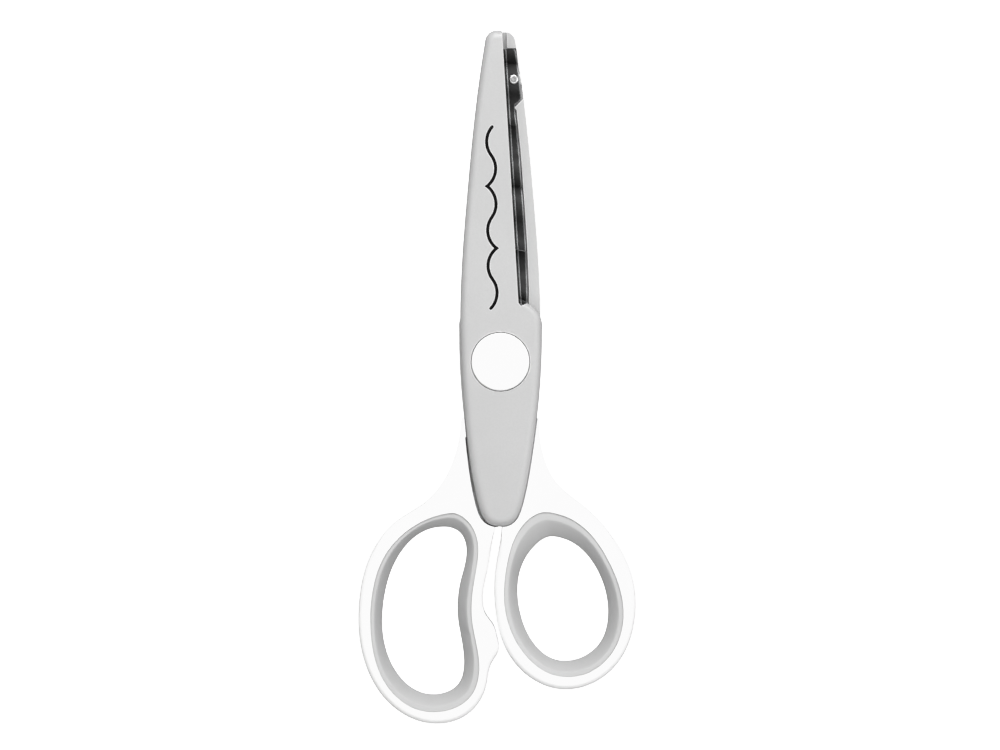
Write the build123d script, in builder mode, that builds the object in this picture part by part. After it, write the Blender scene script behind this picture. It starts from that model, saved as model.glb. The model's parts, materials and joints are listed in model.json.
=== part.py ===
from build123d import *
from math import hypot, sqrt
import os

# Decorative edge scissors, closed and lying flat. Millimetres.
# Origin: on the pivot axis, in the plane that the scissors rest on. +Y to the tips, +Z up.
# The front half (upper) and the rear half (lower) are twins, turned half a turn about the Y axis.
# Every piece is drawn in the front half's frame; the rear half is drawn in REAR_FRAME.
# In both frames the cutting edge and the handle are on the +X side.

# ---------------------------------------------------------------- overall
THICKNESS = 11.0
MID = THICKNESS / 2
PARTING_GAP = 0.30
SLIP = 0.05
FRONT_FRAME = Plane.XY
REAR_FRAME = Plane(origin=(0, 0, THICKNESS), x_dir=(-1, 0, 0), z_dir=(0, 0, -1))
BROAD = 60.0

# ---------------------------------------------------------------- heights in a half's own frame
COVER_TOP = THICKNESS - 0.5
COVER_FOOT = MID + PARTING_GAP / 2
BLADE_CEILING = 7.7
TANG_TOP = 8.6
TANG_CEILING = 8.7
RECESS_FLOOR = 7.4
CAP_SEAT = 9.4

# ---------------------------------------------------------------- blade
BLADE_THICKNESS = 0.70
BLADE_GAP = 0.15
BLADE_FOOT = MID + BLADE_GAP / 2
BLADE_TOP = BLADE_FOOT + BLADE_THICKNESS
BLADE_END = 74.6
BLADE_PROUD = 0.75
TANG_END = -24.0
BLADE_CORNER = 0.5
BLADE_HEEL = 12.5

# ---------------------------------------------------------------- wave, shared by the blades and the print
WAVE_PITCH = 14.77
WAVE_HEIGHT = 1.15
WAVE_START = 15.6
FIRST_CUSP = 27.0
PRINT_WIDTH = 0.78
PRINT_DEPTH = 0.25
PRINT_TOP = 55.9
PRINT_BOTTOM = 12.7
PRINT_X = -1.65
PRINT_SWING = 0.9
PRINT_LEAN = -0.0115

# ---------------------------------------------------------------- cover
COVER_TIP = 78.9
BACK_ROUND = 2.0
HUMP_ROUND = 1.4
CUT_SIDE_ROUND = 0.15
RIM = 1.6
MOUTH_TOP = -14.0
MOUTH_BOTTOM = -45.0
MOUTH_SIDE = 0.5
MOUTH_KNEE = (3.0, -30.0)
MOUTH_FOOT = -36.0
TANG_ROOM_TOP = 13.6
TANG_SLIP = 0.1

# ---------------------------------------------------------------- pivot
SHANK_RADIUS = 2.0
BUSH_RADIUS = 3.0
HEAD_RADIUS = 3.6
HEAD_SEAT = 7.95
HEAD_HEIGHT = 0.95
HEAD_BEVEL = 0.2
DRIVE_RADIUS = 1.3
DRIVE_DEPTH = 0.6
SCREW_END = 2.0
NUT_FOOT = 1.9
NUT_SLOT = 0.8
NUT_SLOT_DEPTH = 0.5
NUT_COLLAR = 0.4
SKIRT_FOOT = 8.0
CAP_RADIUS = 6.9
CAP_SLIT = 0.2
SKIRT_RADIUS = 5.6
SKIRT_WALL = 1.0
CAP_ROUND = 0.45
WASHER_RADIUS = 4.2
WASHER_THICKNESS = 0.5
DISHED_THICKNESS = 0.3
NUT_HEIGHT = 1.2

# ---------------------------------------------------------------- rivets and pegs
TANG_RIVETS = [(0, -13.0), (0, -19.5)]
TANG_RIVET_RADIUS = 1.2
TIP_RIVET = (-3.15, 67.4)
TIP_RIVET_HEAD = 1.15
TIP_RIVET_DOME = 0.5
TIP_RIVET_CROWN = 0.4
TIP_RIVET_RADIUS = 0.7
TANG_RIVET_HEAD = 2.0
TANG_RIVET_SEAT = 7.6
TANG_RIVET_RISE = 0.7
SEAT_OVERLAP = 0.3
TIP_BOSS_RADIUS = 1.8
TIP_RIVET_END = 9.0
COVER_PEGS = [(0, -29.5), (-5.0, 8.5)]
PEG_RADIUS = 1.0
PEG_FOOT = 7.7

# ---------------------------------------------------------------- handles and grips
THUMB_ROUND = 1.7
FINGER_ROUND = 1.6
SHOULDER_DROP = 1.7
RAMP_START = -33.0
RAMP_END = -50.0
HANDLE_INSIDE = (5.5, -34.0)
SLIT_TURN = 1.0
SLIT_TOP = -18.0
HANDLE_REACH = 60.0
NECK_REACH = 0.3
GRIP_INSET = 0.3
GRIP_LIP = 0.5
GRIP_THROAT = 2.4

# Outer edge of each handle, from its shoulder beside the cover round the loop to the cover's foot.
THUMB_EDGE = [
    (9.1, -13.5), (9.9, -21.5), (13.0, -28.5), (20.5, -35.0), (27.1, -42.3), (31.5, -51.5),
    (32.0, -61.5), (28.3, -71.3), (21.0, -77.0), (13.5, -77.9), (5.3, -73.8), (0.6, -67.0),
    (-1.2, -59.5), (-1.3, -50.0), (-0.2, -43.5), (0.35, -38.0),
]
FINGER_EDGE = [
    (9.2, -13.5), (10.0, -19.5), (12.6, -26.8), (17.2, -32.9), (25.0, -38.2), (31.0, -46.0),
    (33.7, -57.0), (32.6, -70.7), (27.0, -80.8), (17.5, -86.0), (8.0, -84.1), (3.3, -77.0),
    (2.1, -71.8), (0.35, -68.4), (0.65, -66.0), (1.7, -62.7), (3.6, -59.9), (4.2, -57.0),
    (3.0, -49.5), (1.75, -42.0), (0.85, -38.0),
]
# Each grip's outer edge and the hole in it, point for point, so that a funnel joins them.
THUMB_GRIP_EDGE = [
    (11.4, -35.9), (20.0, -39.7), (26.1, -48.3), (29.2, -59.3), (26.9, -68.6), (20.0, -74.3),
    (11.9, -74.2), (5.3, -68.9), (1.3, -59.8), (1.6, -48.3), (5.2, -39.2),
]
THUMB_HOLE_EDGE = [
    (12.8, -41.7), (18.5, -44.0), (23.4, -50.2), (25.7, -59.8), (23.9, -66.8), (19.0, -70.7),
    (12.6, -70.9), (8.2, -67.5), (4.7, -59.8), (4.9, -49.2), (8.3, -43.8),
]
FINGER_GRIP_EDGE = [
    (12.0, -36.1), (20.6, -39.2), (27.3, -45.9), (30.6, -56.4), (30.6, -66.4), (27.7, -75.9),
    (21.0, -82.2), (13.5, -83.1), (7.0, -79.4), (5.1, -72.5), (6.8, -61.7), (6.3, -52.1),
    (5.4, -43.5), (7.3, -38.6),
]
FINGER_HOLE_EDGE = [
    (13.0, -39.4), (19.6, -41.2), (24.9, -47.3), (27.8, -56.5), (27.8, -66.6), (25.0, -73.8),
    (19.7, -78.6), (14.2, -79.2), (10.1, -76.9), (8.7, -72.0), (10.1, -61.7), (9.5, -52.1),
    (8.1, -44.9), (9.4, -41.0),
]

# ---------------------------------------------------------------- wave
# A wave runs from crossing to cusp in equal arcs. Each arc swings out by WAVE_HEIGHT, turns back and
# ends at the cusp on the other side, so two arcs mirror each other at a cusp and at a crossing.
HALF_PITCH = WAVE_PITCH / 2
BELLY = sqrt(2 * (HALF_PITCH**2 + WAVE_HEIGHT**2)) - HALF_PITCH
ARC_RISE = (BELLY**2 - WAVE_HEIGHT**2) / (2 * WAVE_HEIGHT)
ARC_RADIUS = ARC_RISE + WAVE_HEIGHT


def wave_height(along):
    """Height of the wave at a distance from the origin, upward at the first cusp."""
    from_first = (along - FIRST_CUSP) / WAVE_PITCH
    nearest = round(from_first)
    sign = 1 if nearest % 2 == 0 else -1
    from_crossing = HALF_PITCH - abs(along - FIRST_CUSP - nearest * WAVE_PITCH)
    return sign * (ARC_RISE - sqrt(ARC_RADIUS**2 - (from_crossing - BELLY) ** 2))


def wave_breaks(low, high):
    """Crossings and cusps between two distances, with both ends."""
    count = int((high - FIRST_CUSP) / HALF_PITCH) + 2
    inner = [FIRST_CUSP + k * HALF_PITCH for k in range(-count, count)]
    return [low] + [u for u in inner if low < u < high] + [high]


# ---------------------------------------------------------------- outlines
CUT_FOOT = (4.3, 14.0)
CUT_TIP = (0.38, COVER_TIP)
TIP_CORNER = [(-2.95, 78.05), (-1.45, COVER_TIP)]
COVER_BACK = [
    (-3.66, 76.5), (-6.1, 59.0), (-7.9, 40.5), (-9.1, 25.0), (-9.62, 10.0), (-8.9, -8.0),
    (-7.2, -24.5), (-5.4, -33.6), (-2.7, -38.6), (0, -39.3), (2.7, -38.6), (5.4, -33.6),
    (7.2, -24.5), (9.1, -10.0), (9.75, -1.0), (9.93, 7.5),
]
SHOULDER = [(9.93, 7.5), (9.05, 11.6), (6.4, 13.9)]
BLOCK_SIDE = 14.0
RIM_INNER = [(-6.8, 11.0), (-6.8, 18.0), (-6.33, 29.1), (-4.85, 50.2), (-3.84, 60.1)]
NOTCH = [(-3.35, 60.7), (-5.4, 62.75), (-8.0, 63.5), (-8.0, 66.0), (-4.75, 66.2), (-3.75, 74.9)]
TIP_SLOT = [(-1.6, 74.9), (-1.6, 81.0), (12.0, 81.0), (12.0, 14.6), (5.6, 14.6), (5.6, 11.0)]
BLADE_BACK = [
    (-3.6, BLADE_END), (-4.55, 67.5), (-5.0, 62.8), (-3.5, 61.3), (-3.5, 60.0), (-4.5, 50.2),
    (-6.0, 29.1), (-6.4, 18.0), (-6.4, 0),
]
BLADE_TANG = [(-6.4, 0), (-6.4, -6.0), (-4.6, TANG_END), (4.6, TANG_END), (6.4, -6.0), (6.4, 0)]


def cut_edge_x(y):
    """Distance from the centre line to the cover's cutting side."""
    lean = (CUT_FOOT[0] - CUT_TIP[0]) / (CUT_TIP[1] - CUT_FOOT[1])
    return CUT_TIP[0] + lean * (CUT_TIP[1] - y)


def cover_outline(plane, grow=0.0, side=1):
    """The cover's outline, made larger by grow. Side -1 gives the other half's outline."""
    def place(points):
        return [(side * x, y) for x, y in points]
    with BuildSketch(plane) as outline:
        with BuildLine():
            Polyline(*place([TIP_CORNER[1], CUT_TIP, CUT_FOOT, (4.9, 13.3), SHOULDER[2]]))
            ThreePointArc(*place(SHOULDER[::-1]))
            Spline(*place(COVER_BACK[::-1]))
            ThreePointArc(*place([COVER_BACK[0], *TIP_CORNER]))
        make_face()
        if grow:
            offset(amount=grow)
    return outline.sketch.to_splines() if grow else outline.sketch


def closed_curve(plane, points):
    """The face inside a smooth closed curve."""
    with BuildSketch(plane) as face:
        with BuildLine():
            Spline(*points, periodic=True)
        make_face()
    return face.sketch


def side_profile(inset=0.0):
    """Side view of the handles: thinner beside the cover, full thickness at the loops."""
    top = THICKNESS - inset
    low_top = THICKNESS - SHOULDER_DROP - inset
    foot, low_foot = THICKNESS - top, THICKNESS - low_top
    end = -2 * HANDLE_REACH
    with BuildSketch(Plane.YZ) as profile:
        with BuildLine():
            Line((0, low_top), (RAMP_START, low_top))
            Spline((RAMP_START, low_top), (RAMP_END, top), tangents=[(-1, 0), (-1, 0)])
            Polyline((RAMP_END, top), (end, top), (end, foot), (RAMP_END, foot))
            Spline((RAMP_END, foot), (RAMP_START, low_foot), tangents=[(1, 0), (1, 0)])
            Polyline((RAMP_START, low_foot), (0, low_foot), (0, low_top))
        make_face()
    return profile.sketch


# ---------------------------------------------------------------- covers
def block_outline(plane):
    """The cover's outline with its cutting side moved far out."""
    with BuildSketch(plane) as outline:
        with BuildLine():
            Polyline(TIP_CORNER[1], (BLOCK_SIDE, COVER_TIP), (BLOCK_SIDE, RIM_INNER[2][1]))
            Spline((BLOCK_SIDE, RIM_INNER[2][1]), COVER_BACK[-1], tangents=[(0, -1), (0, -1)])
            Spline(*COVER_BACK[::-1])
            ThreePointArc(COVER_BACK[0], *TIP_CORNER)
        make_face()
    return outline.sketch


def cover_body(frame):
    """Solid cover: softly rounded along its back, tip and foot, crisp along the cutting side."""
    plane = frame.offset(COVER_FOOT)
    upward = Axis(frame.origin, frame.z_dir)
    outward = Axis(frame.origin, frame.x_dir)
    with BuildPart() as body:
        extrude(block_outline(plane), amount=COVER_TOP - COVER_FOOT)
        fillet(body.faces().sort_by(upward)[-1].edges(), BACK_ROUND)
        extrude(cover_outline(plane), amount=COVER_TOP - COVER_FOOT, mode=Mode.INTERSECT)
        top = body.faces().filter_by(GeomType.PLANE).sort_by(upward)[-1]
        fillet(top.edges().filter_by(GeomType.CIRCLE).sort_by(outward)[-1], HUMP_ROUND)
        top = body.faces().filter_by(GeomType.PLANE).sort_by(upward)[-1]
        fillet(top.edges().filter_by(GeomType.LINE).sort_by(SortBy.LENGTH)[-1], CUT_SIDE_ROUND)
    return body.part


def tang_room(frame, inset):
    """Room inside the cover's rim below the blade slot."""
    with BuildSketch(frame.offset(COVER_FOOT)) as room:
        add(cover_outline(Plane.XY, grow=-inset))
        with Locations((0, TANG_ROOM_TOP - inset)):
            Rectangle(BROAD, BROAD, align=(Align.CENTER, Align.MAX), mode=Mode.INTERSECT)
    return room.sketch


def mouth_corners(inset=0.0):
    """The side opening of the cover that the handle's neck passes through."""
    top = MOUTH_TOP - inset
    side = MOUTH_SIDE + inset
    outer = [(side, MOUTH_BOTTOM), (BLOCK_SIDE, MOUTH_BOTTOM), (BLOCK_SIDE, top)]
    return outer + [(MOUTH_KNEE[0], top), MOUTH_KNEE, (side, MOUTH_FOOT)]


def make_cover(frame):
    """Shell of one half: a skin over blade and tang, with a rim on all but the cutting side."""
    with BuildPart() as cover:
        add(cover_body(frame))
        with BuildSketch(frame.offset(COVER_FOOT)):
            Polygon(*RIM_INNER, *NOTCH, *TIP_SLOT, align=None)
        extrude(amount=BLADE_CEILING - COVER_FOOT, mode=Mode.SUBTRACT)
        extrude(tang_room(frame, RIM), amount=TANG_CEILING - COVER_FOOT, mode=Mode.SUBTRACT)
        with BuildSketch(frame.offset(COVER_FOOT)):
            Polygon(*mouth_corners(), align=None)
        extrude(amount=TANG_CEILING - COVER_FOOT, mode=Mode.SUBTRACT)
        with BuildSketch(frame.offset(PEG_FOOT)):
            with Locations(*COVER_PEGS):
                Circle(PEG_RADIUS)
        extrude(amount=TANG_CEILING - PEG_FOOT)
        with BuildSketch(frame.offset(CAP_SEAT)):
            Circle(CAP_RADIUS + CAP_SLIT)
        extrude(amount=THICKNESS - CAP_SEAT, mode=Mode.SUBTRACT)
        with BuildSketch(frame.offset(COVER_FOOT)):
            Circle(SKIRT_RADIUS)
        extrude(amount=CAP_SEAT - COVER_FOOT, mode=Mode.SUBTRACT)
        add(make_tip_boss(frame))
        with BuildSketch(frame):
            with Locations(TIP_RIVET):
                Circle(TIP_RIVET_RADIUS)
        extrude(amount=TIP_RIVET_END, mode=Mode.SUBTRACT)
    return cover


# ---------------------------------------------------------------- blades
def wave_section(frame, low, high):
    """Half section of the corrugated plate, from the pivot axis outward to past the tip."""
    turn = 1 if frame.z_dir.Z > 0 else -1
    reach = BLADE_END + 2.0
    first_crossing = FIRST_CUSP - HALF_PITCH
    lead = (first_crossing - WAVE_START) / 2
    lead_height = lead * BELLY / (ARC_RADIUS + ARC_RISE)
    side_plane = Plane(frame.origin, x_dir=frame.x_dir, z_dir=-frame.y_dir)
    breaks = wave_breaks(first_crossing, reach)

    def edge(level):
        """One face of the plate in section; returns its outer end."""
        def point(along):
            return (along, level + turn * wave_height(along))
        Line((0, level), (WAVE_START, level))
        lead_top = (WAVE_START + lead, level + turn * lead_height)
        ThreePointArc((WAVE_START, level), lead_top, (first_crossing, level))
        for start, end in zip(breaks, breaks[1:]):
            ThreePointArc(point(start), point((start + end) / 2), point(end))
        return point(reach)

    with BuildSketch(side_plane) as section:
        with BuildLine():
            low_end = edge(low)
            high_end = edge(high)
            Line(low_end, high_end)
            Line((0, low), (0, high))
        make_face()
    return section.sketch


def blade_outline(plane, grow=0.0):
    heel = (cut_edge_x(BLADE_HEEL) + BLADE_PROUD, BLADE_HEEL)
    toe = (cut_edge_x(BLADE_END) + BLADE_PROUD, BLADE_END)
    with BuildSketch(plane) as outline:
        Polygon(toe, *BLADE_BACK, *BLADE_TANG, heel, align=None)
        fillet(outline.vertices(), BLADE_CORNER)
        if grow:
            offset(amount=grow)
    return outline.sketch


def make_blade(frame, pivot_radius):
    """Corrugated plate whose faces turn about the pivot axis, so the two blades nest at any angle."""
    with BuildPart() as blade:
        pivot_axis = Axis(frame.origin, frame.z_dir)
        revolve(wave_section(frame, BLADE_FOOT, BLADE_TOP), axis=pivot_axis, revolution_arc=180)
        with BuildSketch(frame.offset(BLADE_FOOT)):
            Rectangle(BROAD, BROAD, align=(Align.CENTER, Align.MAX))
        extrude(amount=BLADE_THICKNESS)
        extrude(blade_outline(frame), amount=THICKNESS, mode=Mode.INTERSECT)
        with BuildSketch(frame):
            Circle(pivot_radius)
            with Locations(*TANG_RIVETS):
                Circle(TANG_RIVET_RADIUS)
            with Locations(TIP_RIVET):
                Circle(TIP_RIVET_RADIUS)
        extrude(amount=THICKNESS, mode=Mode.SUBTRACT)
    return blade


def make_tip_boss(frame):
    """Boss between the cover's ceiling and the blade's outer face, round the tip rivet."""
    with BuildPart() as boss:
        with BuildSketch(frame):
            with Locations(TIP_RIVET):
                Circle(TIP_BOSS_RADIUS)
        extrude(amount=BLADE_CEILING + SEAT_OVERLAP)
        below_blade = wave_section(frame, -THICKNESS, BLADE_TOP)
        pivot_axis = Axis(frame.origin, frame.z_dir)
        revolve(below_blade, axis=pivot_axis, revolution_arc=180, mode=Mode.SUBTRACT)
    return boss.part


def make_tip_rivet(frame, blade):
    """Round headed rivet on the blade's inner face, its head shaped to the plate under it."""
    turn = 1 if frame.z_dir.Z > 0 else -1
    seat = BLADE_FOOT + turn * wave_height(hypot(*TIP_RIVET))
    head_foot = seat - TIP_RIVET_DOME
    with BuildPart() as rivet:
        with BuildSketch(frame.offset(head_foot)):
            with Locations(TIP_RIVET):
                Circle(TIP_RIVET_HEAD)
        extrude(amount=TIP_RIVET_DOME + SEAT_OVERLAP)
        crown = rivet.edges().filter_by(GeomType.CIRCLE).sort_by(Axis(frame.origin, frame.z_dir))[0]
        fillet(crown, TIP_RIVET_CROWN)
        with BuildSketch(frame.offset(seat)):
            with Locations(TIP_RIVET):
                Circle(TIP_RIVET_RADIUS)
        extrude(amount=TIP_RIVET_END - seat)
        add(blade.part, mode=Mode.SUBTRACT)
    return rivet


def make_tang_rivets(frame):
    """Two rivets that hold the blade to the handle's tang."""
    with BuildPart() as rivets:
        with BuildSketch(frame.offset(BLADE_FOOT)):
            with Locations(*TANG_RIVETS):
                Circle(TANG_RIVET_RADIUS)
        extrude(amount=TANG_RIVET_SEAT - BLADE_FOOT)
        with BuildSketch(frame.offset(TANG_RIVET_SEAT)):
            with Locations(*TANG_RIVETS):
                Circle(TANG_RIVET_HEAD)
        heads = extrude(amount=TANG_RIVET_RISE)
        fillet(heads.edges().group_by(Axis(frame.origin, frame.z_dir))[-1], TANG_RIVET_RISE / 2)
    return rivets


# ---------------------------------------------------------------- handles and grips
def make_handle(frame, edge, rounding, grip_edge, pivot_radius):
    """Loop and shoulder outside the cover, and a tang that lies inside it."""
    inner_corners = [(edge[-1][0], HANDLE_INSIDE[1]), (HANDLE_INSIDE[0], edge[0][1])]
    with BuildPart() as handle:
        with BuildSketch(frame):
            with BuildLine():
                Spline(*edge)
                Polyline(edge[-1], *inner_corners, edge[0])
            make_face()
        extrude(amount=THICKNESS)
        side = handle.faces().filter_by(GeomType.PLANE, reverse=True)[0]
        fillet(side.edges().filter_by(Axis.Z, reverse=True), rounding)
        extrude(side_profile(), amount=HANDLE_REACH, both=True, mode=Mode.INTERSECT)
        extrude(closed_curve(frame, grip_edge), amount=THICKNESS, mode=Mode.SUBTRACT)
        own_cover = cover_outline(frame.offset(MID), grow=SLIP)
        extrude(own_cover, amount=MID, mode=Mode.SUBTRACT)
        extrude(cover_outline(frame, grow=2 * SLIP, side=-1), amount=MID, mode=Mode.SUBTRACT)
        with BuildSketch(frame):
            add(cover_outline(Plane.XY, grow=SLIP, side=-1), rotation=SLIT_TURN)
            with Locations((0, SLIT_TOP)):
                Rectangle(BROAD, BROAD, align=(Align.CENTER, Align.MAX), mode=Mode.INTERSECT)
        extrude(amount=MID, mode=Mode.SUBTRACT)
        extrude(tang_outline(frame), amount=TANG_TOP - COVER_FOOT)
        pocket = blade_outline(frame.offset(COVER_FOOT), grow=TANG_SLIP)
        extrude(pocket, amount=BLADE_TOP - COVER_FOOT, mode=Mode.SUBTRACT)
        with BuildSketch(frame):
            Circle(pivot_radius)
            with Locations(*TANG_RIVETS):
                Circle(TANG_RIVET_RADIUS)
        extrude(amount=THICKNESS, mode=Mode.SUBTRACT)
        with BuildSketch(frame.offset(RECESS_FLOOR)):
            Circle(SKIRT_RADIUS + TANG_SLIP)
        extrude(amount=THICKNESS, mode=Mode.SUBTRACT)
        with BuildSketch(frame.offset(TANG_RIVET_SEAT)):
            with Locations(*TANG_RIVETS):
                Circle(TANG_RIVET_HEAD + TANG_SLIP)
        extrude(amount=THICKNESS, mode=Mode.SUBTRACT)
        with BuildSketch(frame.offset(PEG_FOOT - TANG_SLIP)):
            with Locations(*COVER_PEGS):
                Circle(PEG_RADIUS + SLIP)
        extrude(amount=THICKNESS, mode=Mode.SUBTRACT)
    return handle


def tang_outline(frame):
    """The tang inside the cover, with the neck that leaves it through the cover's mouth."""
    with BuildSketch(frame.offset(COVER_FOOT)) as outline:
        add(cover_outline(Plane.XY, grow=NECK_REACH))
        Polygon(*mouth_corners(TANG_SLIP), align=None, mode=Mode.INTERSECT)
        add(tang_room(Plane.XY.offset(-COVER_FOOT), RIM + TANG_SLIP))
    return outline.sketch


def make_grip(frame, grip_edge, hole_edge):
    """Soft liner of a loop: a ring whose inner side opens like a funnel to both faces."""
    with BuildPart() as grip:
        extrude(closed_curve(frame, grip_edge), amount=THICKNESS)
        extrude(side_profile(GRIP_INSET), amount=HANDLE_REACH, both=True, mode=Mode.INTERSECT)
        extrude(closed_curve(frame, hole_edge), amount=THICKNESS, mode=Mode.SUBTRACT)
        for turn in (1, -1):
            throat = closed_curve(frame.offset(MID + turn * GRIP_THROAT / 2), hole_edge)
            mouth = closed_curve(frame.offset(MID + turn * (MID + GRIP_LIP)), grip_edge)
            loft([throat.face(), mouth.face()], ruled=True, mode=Mode.SUBTRACT)
    return grip


# ---------------------------------------------------------------- pivot
def make_cap(frame):
    """Round cap that hides the pivot, held by its skirt in the cover's bore."""
    with BuildPart() as cap:
        with BuildSketch(frame.offset(CAP_SEAT)):
            Circle(CAP_RADIUS)
        extrude(amount=THICKNESS - CAP_SEAT)
        crown = cap.edges().sort_by(Axis(frame.origin, frame.z_dir))[-1]
        fillet(crown, CAP_ROUND)
        with BuildSketch(frame.offset(SKIRT_FOOT)):
            Circle(SKIRT_RADIUS)
            Circle(SKIRT_RADIUS - SKIRT_WALL, mode=Mode.SUBTRACT)
        extrude(amount=CAP_SEAT - SKIRT_FOOT)
    return cap


def make_ring(foot, height, inner_radius, outer_radius):
    with BuildPart() as ring:
        with BuildSketch(Plane.XY.offset(foot)):
            Circle(outer_radius)
            Circle(inner_radius, mode=Mode.SUBTRACT)
        extrude(amount=height)
    return ring


def make_screw():
    with BuildPart() as screw:
        with BuildSketch(Plane.XY.offset(SCREW_END)):
            Circle(SHANK_RADIUS)
        extrude(amount=HEAD_SEAT - SCREW_END)
        with BuildSketch(Plane.XY.offset(HEAD_SEAT)):
            Circle(HEAD_RADIUS)
        extrude(amount=HEAD_HEIGHT)
        chamfer(screw.edges().sort_by(Axis.Z)[-1], HEAD_BEVEL)
        with BuildSketch(Plane.XY.offset(HEAD_SEAT + HEAD_HEIGHT)):
            RegularPolygon(DRIVE_RADIUS, 6)
        extrude(amount=-DRIVE_DEPTH, mode=Mode.SUBTRACT)
    return screw


def make_nut():
    """Round nut with a slot across its outer face."""
    with BuildPart() as nut:
        with BuildSketch(Plane.XY.offset(NUT_FOOT)):
            Circle(HEAD_RADIUS)
            Circle(SHANK_RADIUS, mode=Mode.SUBTRACT)
        extrude(amount=NUT_HEIGHT)
        with BuildSketch(Plane.XY.offset(NUT_FOOT)):
            Rectangle(2 * HEAD_RADIUS + 1, NUT_SLOT)
            Circle(SHANK_RADIUS + NUT_COLLAR, mode=Mode.SUBTRACT)
        extrude(amount=NUT_SLOT_DEPTH, mode=Mode.SUBTRACT)
    return nut


def make_spring_washer():
    """Dished washer between the screw head and the front tang."""
    low = RECESS_FLOOR + SLIP
    high = HEAD_SEAT
    bore = SHANK_RADIUS + SLIP
    with BuildPart() as washer:
        with BuildSketch(Plane.XZ):
            Polygon(
                (bore, high - DISHED_THICKNESS), (bore, high),
                (WASHER_RADIUS, low + DISHED_THICKNESS), (WASHER_RADIUS, low), align=None,
            )
        revolve(axis=Axis.Z)
    return washer


# ---------------------------------------------------------------- printed wave
def wave_line_outline(plane):
    """Stroke of the wave line printed on the front cover, with round ends."""
    def point(along):
        return (PRINT_X + PRINT_LEAN * along + PRINT_SWING * wave_height(along), along)

    breaks = wave_breaks(PRINT_BOTTOM, PRINT_TOP)
    with BuildSketch(plane) as stroke:
        with BuildLine() as line:
            for start, end in zip(breaks, breaks[1:]):
                ThreePointArc(point(start), point((start + end) / 2), point(end))
        trace(line.edges(), line_width=PRINT_WIDTH)
        with Locations(*[point(along) for along in breaks]):
            Circle(PRINT_WIDTH / 2)
    return stroke.sketch


def save(piece, name):
    piece.part.label = name
    export_step(piece.part, f"parts/{name}.step")


def main():
    os.makedirs("parts", exist_ok=True)

    front_blade = make_blade(FRONT_FRAME, BUSH_RADIUS)
    rear_blade = make_blade(REAR_FRAME, SHANK_RADIUS)
    print_outline = wave_line_outline(Plane.XY.offset(COVER_TOP - PRINT_DEPTH))

    with BuildPart() as wave_print:
        extrude(print_outline, amount=PRINT_DEPTH)
    with BuildPart() as front_cover:
        add(make_cover(FRONT_FRAME).part)
        extrude(print_outline, amount=PRINT_DEPTH, mode=Mode.SUBTRACT)

    save(front_cover, "front_cover")
    save(wave_print, "wave_print")
    save(make_cover(REAR_FRAME), "rear_cover")
    save(front_blade, "front_blade")
    save(rear_blade, "rear_blade")
    save(make_tip_rivet(FRONT_FRAME, front_blade), "front_tip_rivet")
    save(make_tip_rivet(REAR_FRAME, rear_blade), "rear_tip_rivet")
    save(make_tang_rivets(FRONT_FRAME), "front_tang_rivets")
    save(make_tang_rivets(REAR_FRAME), "rear_tang_rivets")

    thumb_handle = make_handle(FRONT_FRAME, THUMB_EDGE, THUMB_ROUND, THUMB_GRIP_EDGE, BUSH_RADIUS)
    finger_handle = make_handle(REAR_FRAME, FINGER_EDGE, FINGER_ROUND, FINGER_GRIP_EDGE, SHANK_RADIUS)
    save(thumb_handle, "thumb_handle")
    save(finger_handle, "finger_handle")
    save(make_grip(FRONT_FRAME, THUMB_GRIP_EDGE, THUMB_HOLE_EDGE), "thumb_grip")
    save(make_grip(REAR_FRAME, FINGER_GRIP_EDGE, FINGER_HOLE_EDGE), "finger_grip")

    save(make_cap(FRONT_FRAME), "front_pivot_cap")
    save(make_cap(REAR_FRAME), "rear_pivot_cap")
    save(make_screw(), "pivot_screw")
    save(make_nut(), "pivot_nut")
    save(make_ring(BLADE_FOOT, RECESS_FLOOR - BLADE_FOOT, SHANK_RADIUS + SLIP, BUSH_RADIUS), "pivot_bush")
    washer_foot = NUT_FOOT + NUT_HEIGHT
    save(make_ring(washer_foot, WASHER_THICKNESS, SHANK_RADIUS + SLIP, WASHER_RADIUS), "plain_washer")
    save(make_spring_washer(), "spring_washer")


main()
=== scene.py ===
import json
import math

import bmesh
import bpy
import numpy as np
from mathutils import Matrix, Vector
from mathutils.bvhtree import BVHTree


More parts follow.
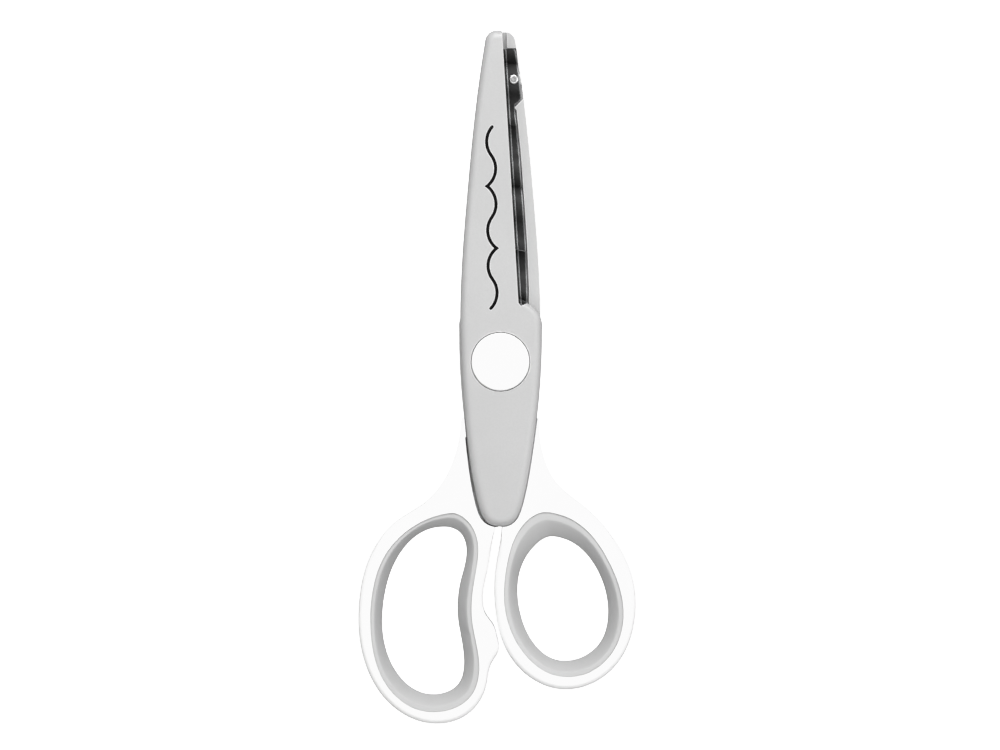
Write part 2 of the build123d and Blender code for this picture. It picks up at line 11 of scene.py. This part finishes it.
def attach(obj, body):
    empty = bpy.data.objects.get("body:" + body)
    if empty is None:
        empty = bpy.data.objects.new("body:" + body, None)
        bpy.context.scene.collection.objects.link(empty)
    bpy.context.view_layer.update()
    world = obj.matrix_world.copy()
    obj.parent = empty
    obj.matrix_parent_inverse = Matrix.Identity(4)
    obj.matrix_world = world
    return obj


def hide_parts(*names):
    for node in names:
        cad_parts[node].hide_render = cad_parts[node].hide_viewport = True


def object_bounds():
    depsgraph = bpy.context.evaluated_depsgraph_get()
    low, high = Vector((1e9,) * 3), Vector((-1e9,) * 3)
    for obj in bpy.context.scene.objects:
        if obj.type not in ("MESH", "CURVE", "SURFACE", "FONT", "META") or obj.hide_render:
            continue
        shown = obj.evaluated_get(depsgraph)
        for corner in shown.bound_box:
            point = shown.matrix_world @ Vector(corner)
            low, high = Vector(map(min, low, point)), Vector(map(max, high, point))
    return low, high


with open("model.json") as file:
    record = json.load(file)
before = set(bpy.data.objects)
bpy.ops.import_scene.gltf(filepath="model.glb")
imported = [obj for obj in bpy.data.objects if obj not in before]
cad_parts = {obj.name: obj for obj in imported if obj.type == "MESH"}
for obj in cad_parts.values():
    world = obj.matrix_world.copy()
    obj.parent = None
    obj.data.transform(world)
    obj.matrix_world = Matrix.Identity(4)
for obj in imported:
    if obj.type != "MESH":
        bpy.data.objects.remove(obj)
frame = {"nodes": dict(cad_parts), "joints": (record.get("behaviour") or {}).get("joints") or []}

# Decorative edge scissors lying flat, seen from straight above. Metres, +Y to the tips, +Z up.
MM = 0.001
CAD_LOW, CAD_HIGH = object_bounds()
MIDDLE = (CAD_LOW + CAD_HIGH) / 2
LENGTH = CAD_HIGH.y - CAD_LOW.y
MID = frame["joints"][0]["pos_m"][2]  # height of the plane between the two halves

FRONT, REAR = "front_half", "rear_half"


def grey(value):
    return (value, value, value)


# ---------------------------------------------------------------- camera, light, floor
LENS = 200.0
SENSOR = 36.0
ASPECT = 1000 / 750
LENGTH_SHARE = 0.9218
FRAME_OFFSET = Vector((0.7 * MM, 0.5 * MM, 0))
CLIP_END = 10.0


def make_camera():
    """Straight above, framed by the object's length."""
    camera = bpy.data.cameras.new("camera")
    camera.lens = LENS
    camera.sensor_width = SENSOR
    view = bpy.data.objects.new("camera", camera)
    bpy.context.scene.collection.objects.link(view)
    seen_width = LENGTH / LENGTH_SHARE * ASPECT
    view.location = MIDDLE + FRAME_OFFSET
    view.location.z = MID + seen_width * LENS / SENSOR
    camera.clip_end = CLIP_END
    bpy.context.scene.camera = view


WHITE_LEVEL = 1.6
# Light divided by the white level, and what the curve makes of it.
TONE_POINTS = [(0.2, 0.32), (0.41, 0.652), (0.55, 0.87), (0.64, 0.95), (0.78, 0.968), (0.93, 0.98)]


def expose():
    """Even tones up to light grey, then a soft shoulder that keeps white plastic from burning out."""
    settings = bpy.context.scene.view_settings
    settings.view_transform = "Standard"
    settings.use_curve_mapping = True
    mapping = settings.curve_mapping
    mapping.white_level = (WHITE_LEVEL,) * 3
    for point in TONE_POINTS:
        mapping.curves[3].points.new(*point)
    mapping.update()


def make_softbox(name, azimuth, elevation, distance, size, power):
    """A soft rectangular lamp that points at the object. Azimuth 0 is on the -Y side, 90 on the +X side."""
    lamp = bpy.data.lights.new(name, "AREA")
    lamp.shape = "RECTANGLE"
    lamp.size, lamp.size_y = size
    lamp.energy = power
    box = bpy.data.objects.new(name, lamp)
    bpy.context.scene.collection.objects.link(box)
    a, e = math.radians(azimuth), math.radians(elevation)
    away = Vector((math.sin(a) * math.cos(e), -math.cos(a) * math.cos(e), math.sin(e)))
    box.location = MIDDLE + away * distance
    box.rotation_euler = away.to_track_quat("Z", "Y").to_euler()
    box.visible_camera = False


WORLD_STRENGTH = 1.9
# Height of a direction, from 0 level to 1 straight up, and the sky's tone there.
WORLD_STEPS = [(0.03, 0.42), (0.08, 0.09), (0.60, 0.09), (0.76, 1.0), (0.95, 1.0), (0.985, 0.02)]


def make_world():
    """Pale at the horizon, dark over it, a bright ring high up and a dark spot straight above."""
    world = bpy.data.worlds.new("world")
    bpy.context.scene.world = world
    world.use_nodes = True
    tree = world.node_tree
    tree.nodes.clear()
    place = tree.nodes.new("ShaderNodeTexCoord")
    split = tree.nodes.new("ShaderNodeSeparateXYZ")
    ramp = tree.nodes.new("ShaderNodeValToRGB")
    background = tree.nodes.new("ShaderNodeBackground")
    out = tree.nodes.new("ShaderNodeOutputWorld")
    steps = ramp.color_ramp.elements
    ready = len(steps)
    for index, (position, tone) in enumerate(WORLD_STEPS):
        step = steps[index] if index < ready else steps.new(position)
        step.position = position
        step.color = (*grey(tone), 1)
    tree.links.new(place.outputs["Generated"], split.inputs[0])
    tree.links.new(split.outputs["Z"], ramp.inputs[0])
    tree.links.new(ramp.outputs[0], background.inputs[0])
    tree.links.new(background.outputs[0], out.inputs[0])
    background.inputs["Strength"].default_value = WORLD_STRENGTH


FLOOR_HALF = 3.0
FLOOR_DROP = 0.05 * MM
FLOOR_GLOW = 1.7


def make_floor():
    """A square sheet just under the object, so that the two never touch."""
    mesh = bpy.data.meshes.new("floor")
    low = CAD_LOW.z - FLOOR_DROP
    corners = [(x * FLOOR_HALF, y * FLOOR_HALF, low) for x, y in ((-1, -1), (1, -1), (1, 1), (-1, 1))]
    mesh.from_pydata(corners, [], [(0, 1, 2, 3)])
    floor = bpy.data.objects.new("floor", mesh)
    bpy.context.scene.collection.objects.link(floor)
    floor.data.materials.append(floor_material())


# ---------------------------------------------------------------- materials
# Noise scales are per metre, bump depths and bevels are lengths.
BEVEL_SAMPLES = 6
FLAT = 0.995  # dot product of two normals that count as the same


class Finish:
    """A material's nodes, with short ways to add and join them."""

    def __init__(self, name):
        self.material = bpy.data.materials.new(name)
        self.material.use_nodes = True
        self.tree = self.material.node_tree
        self.surface = self.tree.nodes["Principled BSDF"]
        self.place = self.node("ShaderNodeTexCoord").outputs["Object"]

    def node(self, kind, **settings):
        """A new node with its own settings."""
        made = self.tree.nodes.new(kind)
        for key, value in settings.items():
            setattr(made, key, value)
        return made

    def join(self, source, target):
        self.tree.links.new(source, target)

    def stretched(self, scale):
        """Object coordinates times a scale on each axis."""
        mapping = self.node("ShaderNodeMapping")
        mapping.inputs["Scale"].default_value = scale
        self.join(self.place, mapping.inputs["Vector"])
        return mapping.outputs[0]

    def noise(self, per_metre, detail, roughness=0.5, place=None):
        """Cloudy grey values around 0.5, fixed to the object."""
        made = self.node("ShaderNodeTexNoise")
        made.inputs["Scale"].default_value = per_metre
        made.inputs["Detail"].default_value = detail
        made.inputs["Roughness"].default_value = roughness
        self.join(place or self.place, made.inputs["Vector"])
        return made.outputs["Fac"]

    def spread(self, source, low, high, source_low=0.3, source_high=0.7):
        """Maps a value from its own range to low to high."""
        made = self.node("ShaderNodeMapRange")
        made.inputs["From Min"].default_value = source_low
        made.inputs["From Max"].default_value = source_high
        made.inputs["To Min"].default_value = low
        made.inputs["To Max"].default_value = high
        self.join(source, made.inputs["Value"])
        return made.outputs["Result"]

    def blend(self, factor, first, second):
        """Colour that goes from first to second with the factor."""
        made = self.node("ShaderNodeMix", data_type="RGBA")
        self.join(factor, made.inputs["Factor"])
        for key, value in (("A", first), ("B", second)):
            socket = [s for s in made.inputs if s.name == key and s.type == "RGBA"][0]
            if isinstance(value, tuple):
                socket.default_value = (*value, 1)
            else:
                self.join(value, socket)
        return [s for s in made.outputs if s.type == "RGBA"][0]

    def math(self, operation, first, second):
        """One sum on two numbers or node outputs."""
        made = self.node("ShaderNodeMath", operation=operation)
        for socket, value in zip(made.inputs, (first, second)):
            if isinstance(value, (int, float)):
                socket.default_value = value
            else:
                self.join(value, socket)
        return made.outputs[0]

    def soft_edges(self, radius):
        """The normal with edges rounded over to the radius."""
        made = self.node("ShaderNodeBevel", samples=BEVEL_SAMPLES)
        made.inputs["Radius"].default_value = radius
        return made.outputs[0]

    def against_soft(self, operation, radius):
        """A vector operation on the rounded normal and the true one."""
        rounded = self.soft_edges(radius)
        shape = self.node("ShaderNodeNewGeometry")
        made = self.node("ShaderNodeVectorMath", operation=operation)
        self.join(rounded, made.inputs[0])
        self.join(shape.outputs["Normal"], made.inputs[1])
        return made.outputs

    def edges(self, radius, low):
        """From 0 on flat stretches to 1 where rounding turns the normal, by a dot product down to low."""
        match = self.against_soft("DOT_PRODUCT", radius)["Value"]
        return self.spread(match, 1.0, 0.0, low, FLAT)

    def side_edges(self, radius, low, high):
        """From 0 to 1 on edges where rounding tips the normal along the object's own X."""
        lean = self.against_soft("SUBTRACT", radius)[0]
        own = self.node("ShaderNodeVectorTransform", vector_type="VECTOR")
        own.convert_from = "WORLD"
        own.convert_to = "OBJECT"
        self.join(lean, own.inputs[0])
        split = self.node("ShaderNodeSeparateXYZ")
        self.join(own.outputs[0], split.inputs[0])
        return self.spread(self.math("ABSOLUTE", split.outputs["X"], 0.0), 0.0, 1.0, low, high)

    def bump(self, height, distance, strength, base=None):
        """The normal tilted by a height map, on top of a base normal if there is one."""
        made = self.node("ShaderNodeBump")
        made.inputs["Strength"].default_value = strength
        made.inputs["Distance"].default_value = distance
        self.join(height, made.inputs["Height"])
        if base:
            self.join(base, made.inputs["Normal"])
        return made.outputs[0]

    def set(self, **values):
        """Sets surface sockets to constants; spaces in their names are written as underscores."""
        for key, value in values.items():
            self.surface.inputs[key.replace("_", " ")].default_value = value

    def drive(self, key, source):
        """Joins a node output to a surface socket."""
        self.join(source, self.surface.inputs[key])


def cover_material():
    """Light grey satin moulding with a fine spark eroded grain, and a painted highlight that pales its
    tight edges.
    """
    look = Finish("cover_plastic")
    cloud = look.noise(60, 3)
    fleck = look.noise(2500, 2)
    tone = look.blend(look.spread(cloud, 0, 1), grey(0.415), grey(0.44))
    tone = look.blend(look.spread(fleck, 0, 0.35), tone, grey(0.375))
    # Painted highlight: the tight edges are paled toward light grey and made a little glossier.
    cover_edge_highlight = look.edges(0.36 * MM, low=0.9)
    tone = look.blend(look.math("MULTIPLY", cover_edge_highlight, 0.9), tone, grey(0.8))
    look.drive("Base Color", tone)
    rough = look.spread(look.noise(350, 4, 0.6), 0.38, 0.48)
    look.drive("Roughness", look.math("SUBTRACT", rough, look.math("MULTIPLY", cover_edge_highlight, 0.1)))
    grain = look.bump(look.noise(5200, 3, 0.6), 0.012 * MM, 0.4, look.soft_edges(0.12 * MM))
    look.drive("Normal", look.bump(look.noise(1300, 3, 0.6), 0.03 * MM, 0.35, grain))
    return look.material


def handle_material():
    """White semi-gloss moulding, very slightly wavy as thick mouldings are, with painted shade greying its
    edges.
    """
    look = Finish("handle_plastic")
    cloud = look.noise(45, 3)
    tone = look.blend(look.spread(cloud, 0, 1), (0.825, 0.825, 0.82), (0.855, 0.855, 0.855))
    # Painted shade: the edges are greyed toward mid grey.
    rim = look.edges(0.5 * MM, low=0.85)
    tone = look.blend(look.math("MULTIPLY", rim, 0.85), tone, grey(0.42))
    look.drive("Base Color", tone)
    look.drive("Roughness", look.spread(look.noise(260, 4, 0.6), 0.26, 0.36))
    grain = look.bump(look.noise(3000, 2), 0.008 * MM, 0.25, look.soft_edges(0.4 * MM))
    look.drive("Normal", look.bump(look.noise(90, 2), 0.08 * MM, 0.2, grain))
    return look.material


def grip_material():
    """Soft grey rubber, matt, with a fine pebbled skin."""
    look = Finish("grip_rubber")
    cloud = look.noise(55, 3)
    tone = look.blend(look.spread(cloud, 0, 1), grey(0.425), grey(0.455))
    look.drive("Base Color", tone)
    look.drive("Roughness", look.spread(look.noise(420, 4, 0.6), 0.62, 0.74))
    look.drive("Normal", look.bump(look.noise(2600, 3, 0.55), 0.02 * MM, 0.5))
    look.set(Sheen_Weight=0.08, Sheen_Roughness=0.5, Specular_IOR_Level=0.35)
    return look.material


def blade_material():
    """Steel plate brushed along the blade, its base painted near black as painted shade, with a painted
    highlight along its side edges.
    """
    look = Finish("blade_steel")
    brushed = look.noise(1.0, 5, 0.65, look.stretched((9000, 300, 9000)))
    cloud = look.noise(500, 4, 0.65)
    # Painted highlight: a lighter steel band along the side edges, where rounding tips the normal along X.
    blade_edge_highlight = look.side_edges(0.5 * MM, 0.06, 0.2)
    # Painted shade: the plate's base is painted near black, and the brushed streaks are only a little
    # lighter.
    tone = look.blend(look.spread(cloud, 0, 1), grey(0.025), grey(0.05))
    tone = look.blend(look.spread(brushed, 0, 0.5), tone, grey(0.07))
    tone = look.blend(blade_edge_highlight, tone, (0.42, 0.425, 0.43))
    look.drive("Base Color", tone)
    look.set(Metallic=1.0)
    look.drive("Roughness", look.spread(brushed, 0.62, 0.74))
    look.drive("Normal", look.bump(brushed, 0.006 * MM, 0.6, look.soft_edges(0.1 * MM)))
    return look.material


def turned_metal_material(name, tone_low, tone_high, rough_low, rough_high):
    """Turned metal, plated or bare, with fine random handling marks."""
    look = Finish(name)
    look.set(Metallic=1.0)
    speck = look.noise(2200, 3, 0.6)
    look.drive("Base Color", look.blend(look.spread(speck, 0, 1), tone_low, tone_high))
    look.drive("Roughness", look.spread(look.noise(900, 4, 0.6), rough_low, rough_high))
    look.drive("Normal", look.bump(speck, 0.006 * MM, 0.4, look.soft_edges(0.1 * MM)))
    return look.material


def ink_material():
    """Black pad print, a little uneven."""
    look = Finish("print_ink")
    look.drive("Base Color", look.blend(look.spread(look.noise(1500, 3), 0, 1), grey(0.001), grey(0.004)))
    look.drive("Roughness", look.spread(look.noise(900, 3), 0.42, 0.55))
    look.drive("Normal", look.bump(look.noise(4200, 2), 0.01 * MM, 0.4))
    look.set(Specular_IOR_Level=0.06)
    return look.material


def floor_material():
    """Plain mid grey paper that the camera sees as pure white."""
    look = Finish("floor")
    look.drive("Base Color", look.blend(look.spread(look.noise(12, 2), 0, 1), grey(0.29), grey(0.31)))
    look.drive("Roughness", look.spread(look.noise(30, 3), 0.75, 0.9))
    look.set(Specular_IOR_Level=0.1)
    seen = look.node("ShaderNodeLightPath").outputs["Is Camera Ray"]
    look.drive("Emission Strength", look.math("MULTIPLY", seen, FLOOR_GLOW))
    look.surface.inputs["Emission Color"].default_value = (1, 1, 1, 1)
    return look.material


# Each material and the CAD nodes that carry it.
NODE_SLOTS = {
    "cover_plastic": ("front_cover", "rear_cover"),
    "handle_plastic": ("thumb_handle", "finger_handle", "front_pivot_cap", "rear_pivot_cap"),
    "blade_steel": ("front_blade", "rear_blade"),
    "rivet_steel": ("front_tip_rivet", "rear_tip_rivet", "front_tang_rivets", "rear_tang_rivets"),
    "fastener_steel": ("pivot_screw", "pivot_nut", "plain_washer", "spring_washer"),
    "print_ink": ("wave_print",),
    "bush_brass": ("pivot_bush",),
}


def make_materials():
    return {
        "cover_plastic": cover_material(),
        "handle_plastic": handle_material(),
        "grip_rubber": grip_material(),
        "blade_steel": blade_material(),
        "rivet_steel": turned_metal_material("rivet_steel", grey(0.72), grey(0.86), 0.22, 0.34),
        "fastener_steel": turned_metal_material("fastener_steel", grey(0.55), grey(0.68), 0.25, 0.4),
        "print_ink": ink_material(),
        "bush_brass": turned_metal_material("bush_brass", (0.62, 0.45, 0.2), (0.75, 0.56, 0.27), 0.25, 0.4),
    }


def finish_nodes(materials):
    """Gives each CAD node its own material."""
    for slot, names in NODE_SLOTS.items():
        for name in names:
            node = frame["nodes"][name]
            for place in node.material_slots:
                place.material = materials[slot]


# ---------------------------------------------------------------- grips
AROUND = 288  # sections round a ring
HARMONICS = 36  # ripples kept in its outline
WELD = 1e-6
ABOVE = 1.0  # height that rays start from, clear of everything


def cut_loops(node, height):
    """The closed lines in which a CAD node is cut by a level plane, widest first."""
    bm = bmesh.new()
    bm.from_mesh(frame["nodes"][node].data)
    bmesh.ops.remove_doubles(bm, verts=bm.verts, dist=WELD)
    everything = bm.verts[:] + bm.edges[:] + bm.faces[:]
    cut = bmesh.ops.bisect_plane(bm, geom=everything, plane_co=(0, 0, height), plane_no=(0, 0, 1))
    edges = {e for e in cut["geom_cut"] if isinstance(e, bmesh.types.BMEdge)}
    loops = []
    while edges:
        edge = edges.pop()
        first, last = edge.verts
        line = [first, last]
        while True:
            onward = [e for e in last.link_edges if e in edges]
            if not onward:
                break
            edges.discard(onward[0])
            last = onward[0].other_vert(last)
            line.append(last)
        loops.append(np.array([v.co.xy for v in line[:-1]]))
    bm.free()
    return sorted(loops, key=lambda line: -np.ptp(line[:, 0]))


def even_turn(line, centre):
    """The line's points at even angles round a centre, smoothed by leaving out its finest ripples."""
    away = line - centre
    angle = np.arctan2(away[:, 1], away[:, 0])
    order = np.argsort(angle)
    turn = np.linspace(-math.pi, math.pi, AROUND, endpoint=False)
    radius = np.interp(turn, angle[order], np.hypot(*away[order].T), period=2 * math.pi)
    waves = np.fft.rfft(radius)
    waves[HARMONICS:] = 0
    radius = np.fft.irfft(waves, AROUND)
    return centre + radius[:, None] * np.stack([np.cos(turn), np.sin(turn)], 1)


def top_heights(node, points):
    """Height of a CAD node's top above each point."""
    bm = bmesh.new()
    bm.from_mesh(frame["nodes"][node].data)
    tree = BVHTree.FromBMesh(bm)
    bm.free()
    found = [tree.ray_cast(Vector((x, y, ABOVE)), Vector((0, 0, -1)))[0] for x, y in points]
    return np.array([hit.z for hit in found])


# The section of a grip. Shares are of its width and of its half height.
SEAM = 0.01 * MM
LIP_PROBE = 0.5 * MM
LIP_ROUND = 0.08 * MM
LIP_SHARE = 0.32
BEND = 0.22 * MM
BULGE = 0.08
WAIST = 0.2
WAIST_BEND = 0.5 * MM
WALL_SHARE = 0.5

ROUND_POINTS = 6
SLOPE_POINTS = 21
BEND_POINTS = 8
BEND_TAKES = 4  # slope points that a bend stands in for


def eased(before, corner, after, count):
    """Points on a soft bend that leaves one line and joins another."""
    bend = []
    for t in np.linspace(0, 1, count):
        start, middle, end = (1 - t) ** 2, 2 * t * (1 - t), t * t
        bend.append(tuple(start * p + middle * q + end * r for p, q, r in zip(before, corner, after)))
    return bend


def grip_profile(width, half):
    """The ring's section, from its outer wall at mid height over a flat lip and down to the hole."""
    arc = np.linspace(0, math.pi / 2, ROUND_POINTS)
    rim = [(LIP_ROUND * (1 - math.cos(a)), half - LIP_ROUND * (1 - math.sin(a))) for a in arc]
    shoulder = np.array((LIP_SHARE * width, half))
    waist = np.array((width, WAIST * half))
    across, down = waist - shoulder
    swell = (shoulder + waist) / 2 + BULGE * np.array((-down, across))
    slope = eased(shoulder, swell, waist, SLOPE_POINTS)
    bend = eased(shoulder - (BEND, 0), shoulder, slope[BEND_TAKES - 1], BEND_POINTS)
    foot = eased(slope[-BEND_TAKES], waist, waist - (0, WAIST_BEND), BEND_POINTS)
    wall = [(0.0, 0.0), (0.0, half * WALL_SHARE)]
    return wall + rim + bend + slope[BEND_TAKES:-BEND_TAKES] + foot + [(width, 0.0)]


def ring_faces(around, count):
    """Four-sided faces that join each section of a ring to the next and close both ways."""
    faces = []
    for i in range(around):
        after = (i + 1) % around
        for k in range(count):
            following = (k + 1) % count
            corners = (i * count + k, after * count + k, after * count + following, i * count + following)
            faces.append(corners)
    return faces


def make_grip(name, node, body, material):
    """Soft ring in a loop, rounded over to the hole on both faces."""
    outer, inner = cut_loops(node, MID)[:2]
    centre = inner.mean(0)
    outer, inner = even_turn(outer, centre), even_turn(inner, centre)
    across = inner - outer
    width = np.hypot(*across.T)
    inward = across / width[:, None]
    lip = top_heights(node, outer + inward * LIP_PROBE)
    rows = []
    for place, toward, reach, high in zip(outer, inward, width, lip):
        section = grip_profile(reach - SEAM, high - MID)
        whole = section + [(s, -h) for s, h in section[-2:0:-1]]
        rows.append([(*(place + toward * (SEAM + s)), MID + h) for s, h in whole])
    points = [point for row in rows for point in row]
    mesh = bpy.data.meshes.new(name)
    mesh.from_pydata(points, [], ring_faces(AROUND, len(rows[0])))
    bm = bmesh.new()
    bm.from_mesh(mesh)
    bmesh.ops.recalc_face_normals(bm, faces=bm.faces)
    bm.to_mesh(mesh)
    bm.free()
    mesh.shade_smooth()
    grip = bpy.data.objects.new(name, mesh)
    bpy.context.scene.collection.objects.link(grip)
    mesh.materials.append(material)
    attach(grip, body)
    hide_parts(node)


# ---------------------------------------------------------------- the whole scene
expose()
make_camera()
make_world()
make_floor()
make_softbox("key", azimuth=180, elevation=38, distance=0.9, size=(0.6, 0.35), power=5.9)
make_softbox("right", azimuth=90, elevation=35, distance=0.9, size=(0.6, 0.5), power=1.6)

materials = make_materials()
finish_nodes(materials)
make_grip("thumb_grip_skin", "thumb_grip", FRONT, materials["grip_rubber"])
make_grip("finger_grip_skin", "finger_grip", REAR, materials["grip_rubber"])
